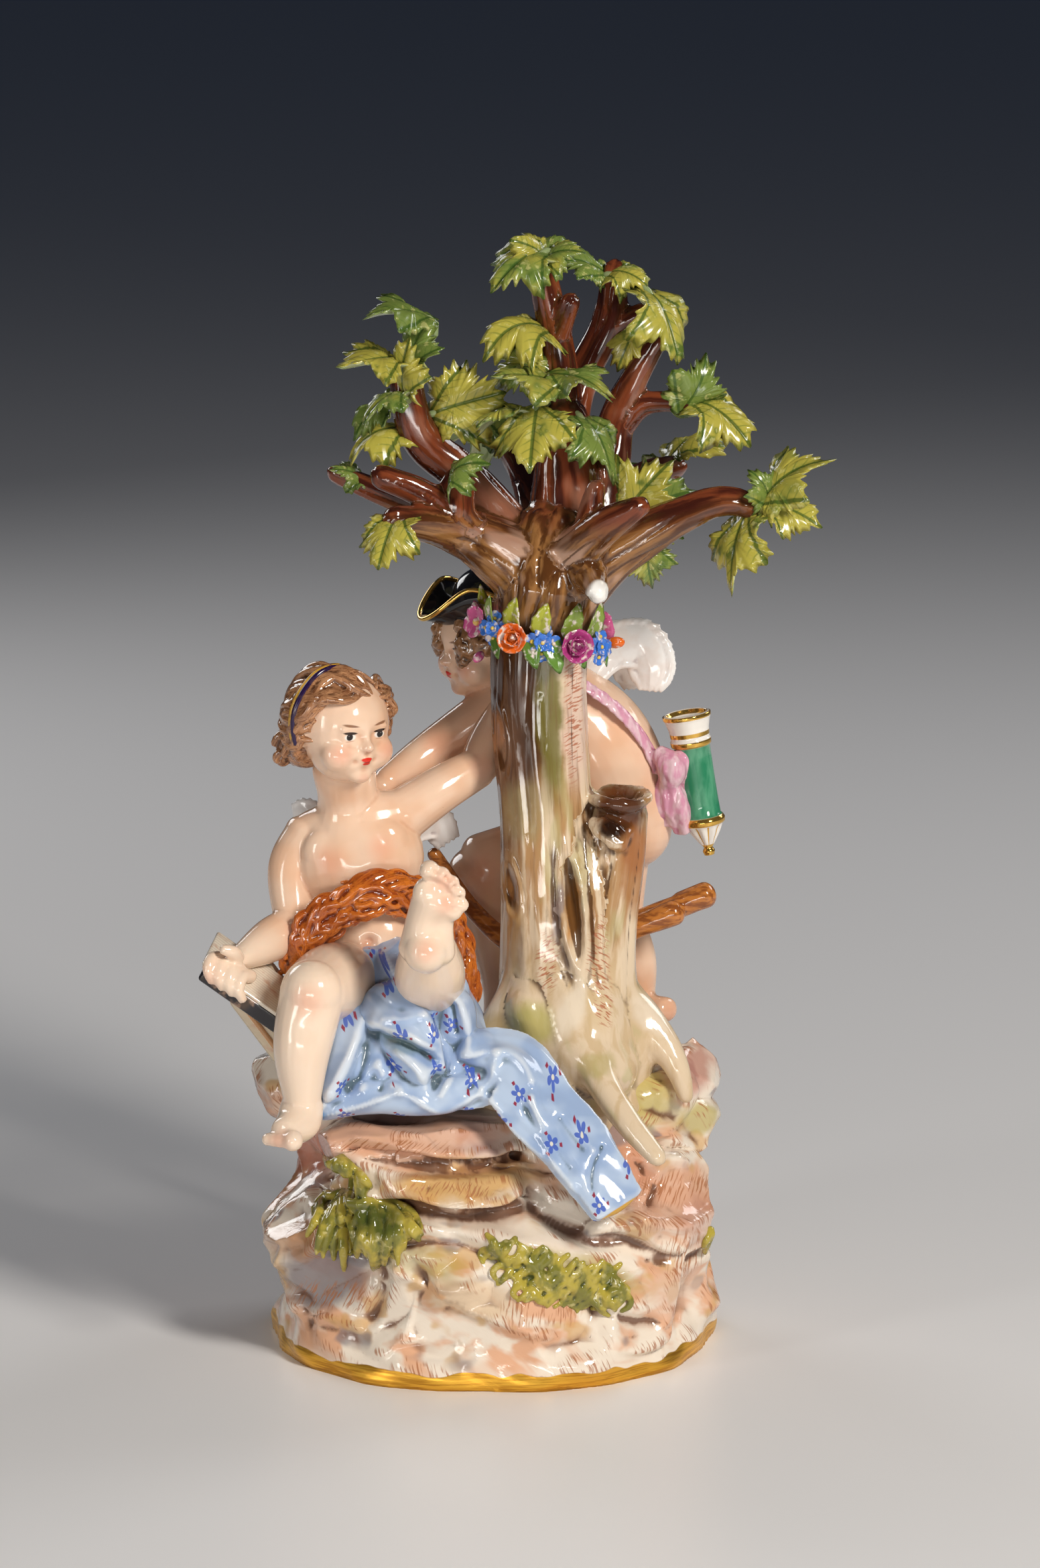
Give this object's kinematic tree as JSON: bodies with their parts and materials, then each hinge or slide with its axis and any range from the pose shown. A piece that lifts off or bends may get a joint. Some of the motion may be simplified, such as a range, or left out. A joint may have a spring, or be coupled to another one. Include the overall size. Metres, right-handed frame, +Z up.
{
  "type": "porcelain figure group",
  "caption": "Glazed porcelain group of a seated winged child with a book and a winged boy in a cocked hat at a flowering tree on a rock base, made to stand on a shelf.",
  "frame": {"origin": "centre of the rock base's flat underside, on the surface that it stands on", "axes": "+Z up the tree; -Y towards the seated child's knees and feet; +X towards the child's left"},
  "size_m": [0.1585, 0.115, 0.2814],
  "materials": {
    "white_glaze": "clear glossy glaze over white porcelain",
    "rock_glaze": "glossy glaze washed with pink, brown and grey enamel",
    "gilding": "burnished gilding over glaze",
    "moss_glaze": "glossy yellow-green enamel",
    "bark_glaze": "glossy brown enamel streaks over white",
    "leaf_glaze": "glossy green enamel with dark veins",
    "flower_glaze": "glossy enamel in pink, orange and blue",
    "flesh_glaze": "glossy glaze with peach flesh tints",
    "hair_glaze": "glossy brown enamel strokes",
    "drape_glaze": "glossy pale blue enamel with scattered flowers",
    "pelt_glaze": "glossy orange-brown enamel",
    "book_glaze": "glossy enamel, beige pages and a dark cover",
    "hat_glaze": "glossy black enamel with a gilt edge",
    "ribbon_glaze": "glossy pink enamel",
    "quiver_glaze": "glossy green enamel between gilt rings",
    "bow_glaze": "glossy orange-brown enamel"
  },
  "bodies": {
    "root": {"porcelain_group": "white_glaze"}
  },
  "joints": []
}
